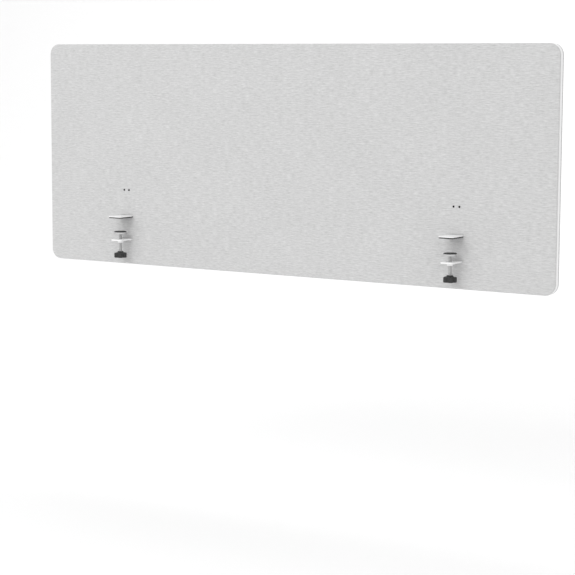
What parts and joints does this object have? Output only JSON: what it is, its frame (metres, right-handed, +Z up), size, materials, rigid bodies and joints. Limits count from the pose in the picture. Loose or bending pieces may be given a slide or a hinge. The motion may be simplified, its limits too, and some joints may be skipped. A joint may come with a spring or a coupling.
{
  "type": "desk privacy panel",
  "caption": "Rounded rectangular fabric-covered screen that clamps along a desk's rear edge with steel plates on the desk top and screw clamps below.",
  "frame": {"origin": "on the desk top at the rear edge, in the middle of the panel's front face", "axes": "X along the panel, +Y away from the person at the desk, +Z up"},
  "size_m": [1.6, 0.0945, 0.62],
  "materials": {
    "core_board": "raw fibreboard, sawn edges",
    "edge_trim": "pale grey flexible plastic trim, fine satin",
    "panel_fabric": "light grey heathered woven cloth with fine horizontal slubs",
    "wadding": "white needled polyester wadding",
    "white_coated_steel": "white powder coat, semi-gloss",
    "dark_rubber": "dark matt rubber sheet",
    "zinc_steel": "zinc-plated steel",
    "black_steel": "black oxide steel, low sheen",
    "black_plastic": "black moulded nylon, fine texture"
  },
  "bodies": {
    "panel": {"core_board": "core_board", "edge_trim": "edge_trim", "front_fabric": "panel_fabric", "rear_fabric": "panel_fabric", "front_wadding": "wadding", "rear_wadding": "wadding", "upper_bracket_left": "white_coated_steel", "jaw_pad_left": "dark_rubber", "lower_bracket_left": "white_coated_steel", "bracket_bolts_left": "zinc_steel", "bracket_nuts_left": "zinc_steel", "panel_screws_left": "black_steel", "panel_nuts_left": "zinc_steel", "weld_nut_left": "white_coated_steel", "upper_bracket_right": "white_coated_steel", "jaw_pad_right": "dark_rubber", "lower_bracket_right": "white_coated_steel", "bracket_bolts_right": "zinc_steel", "bracket_nuts_right": "zinc_steel", "panel_screws_right": "black_steel", "panel_nuts_right": "zinc_steel", "weld_nut_right": "white_coated_steel"},
    "left_pressure_foot": {"pressure_pad_left": "zinc_steel", "pressure_rubber_left": "dark_rubber"},
    "left_clamp_screw": {"clamp_screw_left": "zinc_steel", "clamp_knob_left": "black_plastic"},
    "right_pressure_foot": {"pressure_pad_right": "zinc_steel", "pressure_rubber_right": "dark_rubber"},
    "right_clamp_screw": {"clamp_screw_right": "zinc_steel", "clamp_knob_right": "black_plastic"}
  },
  "joints": [
    {"name": "left_foot_travel", "type": "slide", "parent": "panel", "child": "left_pressure_foot", "axis": [0, 0, 1], "range_m": [-0.012, 0.023]},
    {"name": "left_screw_turn", "type": "hinge", "parent": "left_pressure_foot", "child": "left_clamp_screw", "pos_m": [-0.524, -0.03, -0.045], "axis": [0, 0, 1], "range_deg": [-3478, 6646]},
    {"name": "right_foot_travel", "type": "slide", "parent": "panel", "child": "right_pressure_foot", "axis": [0, 0, 1], "range_m": [-0.012, 0.023]},
    {"name": "right_screw_turn", "type": "hinge", "parent": "right_pressure_foot", "child": "right_clamp_screw", "pos_m": [0.524, -0.03, -0.045], "axis": [0, 0, 1], "range_deg": [-3478, 6646]}
  ],
  "couplings": [
    {"joint": "left_screw_turn", "follows": "left_foot_travel", "rad_per_m": 5026.5},
    {"joint": "right_screw_turn", "follows": "right_foot_travel", "rad_per_m": 5026.5}
  ]
}
